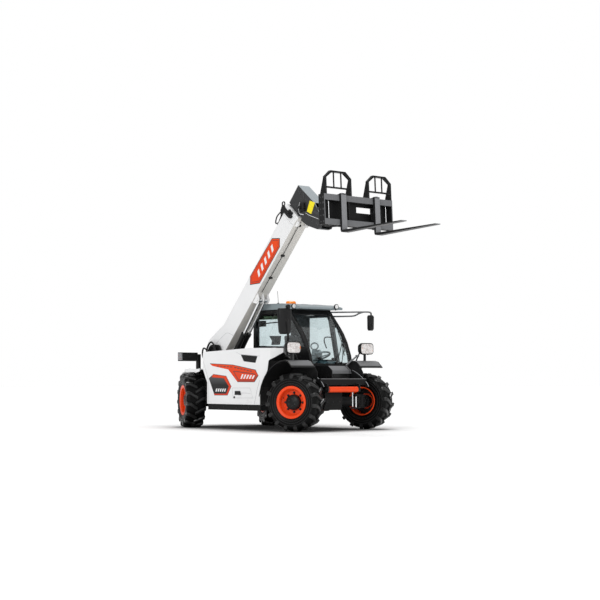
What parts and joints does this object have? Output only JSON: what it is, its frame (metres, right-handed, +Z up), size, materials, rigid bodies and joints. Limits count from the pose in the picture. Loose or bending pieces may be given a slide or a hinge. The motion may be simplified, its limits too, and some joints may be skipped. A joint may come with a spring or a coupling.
{
  "type": "telehandler",
  "caption": "Compact telehandler with a raised telescopic boom, fork carriage, side cab, engine hood and steered wheels.",
  "frame": {"origin": "on the floor, under the middle of the machine's length and width as parked", "axes": "+X forward along the machine, +Y to the driver's left, +Z up"},
  "size_m": [4.8297, 2.3631, 3.735],
  "materials": {
    "white_paint": "gloss panels",
    "black_paint": "satin black",
    "frame_grey": "satin dark grey frame",
    "orange_paint": "gloss orange-red",
    "carriage_grey": "satin mid grey",
    "fork_steel": "satin black, worn tips",
    "chrome_rod": "hard chrome",
    "cast_grey": "painted casting",
    "tyre_rubber": "black tyre",
    "black_plastic": "textured plastic",
    "roof_plastic": "blue-grey roof",
    "cab_glass_tint": "pale green glass",
    "lamp_plastic": "lamp lens",
    "amber_plastic": "amber lens",
    "seat_cloth": "woven seat cloth"
  },
  "bodies": {
    "chassis": {"front_axle": "cast_grey", "rear_axle": "cast_grey", "main_frame": "frame_grey", "counterweight_hitch": "frame_grey", "engine_carrier": "frame_grey", "engine_block": "cast_grey", "rear_fenders": "white_paint", "rear_lamp_carriers": "black_paint", "tank_cover": "white_paint", "cab_frame": "black_paint", "cab_roof": "roof_plastic", "cab_glass": "cab_glass_tint", "seat_base": "black_plastic", "seat": "seat_cloth", "steering_wheel": "black_plastic", "cab_consoles": "black_plastic", "beacon": "amber_plastic", "work_lamps": "lamp_plastic", "front_fenders": "black_plastic", "headlights": "lamp_plastic", "mirrors": "black_plastic", "front_strut": "orange_paint"},
    "outer_boom": {"outer_boom": "white_paint"},
    "inner_boom": {"inner_boom_head": "black_paint"},
    "tool": {"tool_coupler": "black_paint", "fork_carriage": "carriage_grey", "forks": "fork_steel", "load_guards": "black_paint"},
    "lift_barrel": {"lift_cylinder_barrel": "black_paint"},
    "lift_rod": {"lift_cylinder_rod": "chrome_rod"},
    "levelling_barrel": {"levelling_cylinder_barrel": "black_paint"},
    "levelling_rod": {"levelling_cylinder_rod": "chrome_rod"},
    "tilt_barrel": {"tilt_cylinder_barrel": "black_paint"},
    "tilt_rod": {"tilt_cylinder_rod": "chrome_rod"},
    "door": {"cab_door": "black_paint", "door_glass": "cab_glass_tint"},
    "hood": {"engine_hood": "white_paint"},
    "knuckle_front_left": {"knuckle_front_left": "cast_grey"},
    "wheel_front_left": {"wheel_rim_front_left": "orange_paint", "tyre_front_left": "tyre_rubber"},
    "knuckle_front_right": {"knuckle_front_right": "cast_grey"},
    "wheel_front_right": {"wheel_rim_front_right": "orange_paint", "tyre_front_right": "tyre_rubber"},
    "knuckle_rear_left": {"knuckle_rear_left": "cast_grey"},
    "wheel_rear_left": {"wheel_rim_rear_left": "orange_paint", "tyre_rear_left": "tyre_rubber"},
    "knuckle_rear_right": {"knuckle_rear_right": "cast_grey"},
    "wheel_rear_right": {"wheel_rim_rear_right": "orange_paint", "tyre_rear_right": "tyre_rubber"}
  },
  "joints": [
    {"name": "boom_lift", "type": "hinge", "parent": "chassis", "child": "outer_boom", "pos_m": [-1.82, -0.263, 1.19], "axis": [0, -1, 0], "range_deg": [-53, 12.5]},
    {"name": "boom_extend", "type": "slide", "parent": "outer_boom", "child": "inner_boom", "axis": [0.6626, 0, 0.749], "range_m": [0, 1.95]},
    {"name": "tool_tilt", "type": "hinge", "parent": "inner_boom", "child": "tool", "pos_m": [0.56489, -0.263, 3.04955], "axis": [0, 1, 0], "range_deg": [-58, 30]},
    {"name": "door_swing", "type": "hinge", "parent": "chassis", "child": "door", "pos_m": [-1.037, 0.793, 1.2], "axis": [0, 0, 1], "range_deg": [0, 100]},
    {"name": "hood_tilt", "type": "hinge", "parent": "chassis", "child": "hood", "pos_m": [-0.635, -0.438, 1.213], "axis": [-1, 0, 0], "range_deg": [0, 62]},
    {"name": "lift_barrel_turn", "type": "hinge", "parent": "chassis", "child": "lift_barrel", "pos_m": [-1.818, -0.314, 0.694], "axis": [0, -1, 0], "range_deg": [-42.66, 10.06]},
    {"name": "lift_rod_slide", "type": "slide", "parent": "lift_barrel", "child": "lift_rod", "axis": [0.6066, 0, 0.795], "range_m": [-0.3701, 0.0873]},
    {"name": "levelling_barrel_turn", "type": "hinge", "parent": "chassis", "child": "levelling_barrel", "pos_m": [-1.818, -0.213, 0.694], "axis": [0, -1, 0], "range_deg": [-42.66, 10.06]},
    {"name": "levelling_rod_slide", "type": "slide", "parent": "levelling_barrel", "child": "levelling_rod", "axis": [0.6066, 0, 0.795], "range_m": [-0.3701, 0.0873]},
    {"name": "tilt_barrel_turn", "type": "hinge", "parent": "inner_boom", "child": "tilt_barrel", "pos_m": [0.24794, -0.263, 3.28591], "axis": [0, 1, 0], "range_deg": [-14.98, 7.75]},
    {"name": "tilt_rod_slide", "type": "slide", "parent": "tilt_barrel", "child": "tilt_rod", "axis": [0.9096, 0, -0.4156], "range_m": [-0.1158, 0.0599]},
    {"name": "steer_front_right", "type": "hinge", "parent": "chassis", "child": "knuckle_front_right", "pos_m": [0.565, -0.718, 0.42], "axis": [0, 0, 1], "range_deg": [-50, 6]},
    {"name": "roll_front_right", "type": "hinge", "parent": "knuckle_front_right", "child": "wheel_front_right", "pos_m": [0.62681, -0.87099, 0.42], "axis": [-0.3746, 0.9272, 0], "continuous": true},
    {"name": "steer_front_left", "type": "hinge", "parent": "chassis", "child": "knuckle_front_left", "pos_m": [0.565, 0.482, 0.42], "axis": [0, 0, 1], "range_deg": [-50, 6]},
    {"name": "roll_front_left", "type": "hinge", "parent": "knuckle_front_left", "child": "wheel_front_left", "pos_m": [0.50319, 0.63499, 0.42], "axis": [-0.3746, 0.9272, 0], "continuous": true},
    {"name": "steer_rear_right", "type": "hinge", "parent": "chassis", "child": "knuckle_rear_right", "pos_m": [-1.785, -0.718, 0.42], "axis": [0, 0, 1], "range_deg": [-3, 53]},
    {"name": "roll_rear_right", "type": "hinge", "parent": "knuckle_rear_right", "child": "wheel_rear_right", "pos_m": [-1.85473, -0.86754, 0.42], "axis": [0.4226, 0.9063, 0], "continuous": true},
    {"name": "steer_rear_left", "type": "hinge", "parent": "chassis", "child": "knuckle_rear_left", "pos_m": [-1.785, 0.482, 0.42], "axis": [0, 0, 1], "range_deg": [-3, 53]},
    {"name": "roll_rear_left", "type": "hinge", "parent": "knuckle_rear_left", "child": "wheel_rear_left", "pos_m": [-1.71527, 0.63154, 0.42], "axis": [0.4226, 0.9063, 0], "continuous": true}
  ],
  "couplings": [
    {"joint": "lift_barrel_turn", "follows": "boom_lift", "ratio": 0.805},
    {"joint": "lift_rod_slide", "follows": "boom_lift", "m_per_rad": 0.4},
    {"joint": "levelling_barrel_turn", "follows": "boom_lift", "ratio": 0.805},
    {"joint": "levelling_rod_slide", "follows": "boom_lift", "m_per_rad": 0.4},
    {"joint": "tilt_barrel_turn", "follows": "tool_tilt", "ratio": 0.25832},
    {"joint": "tilt_rod_slide", "follows": "tool_tilt", "m_per_rad": 0.11432},
    {"joint": "steer_front_left", "follows": "steer_front_right", "ratio": 1},
    {"joint": "steer_rear_left", "follows": "steer_rear_right", "ratio": 1}
  ]
}
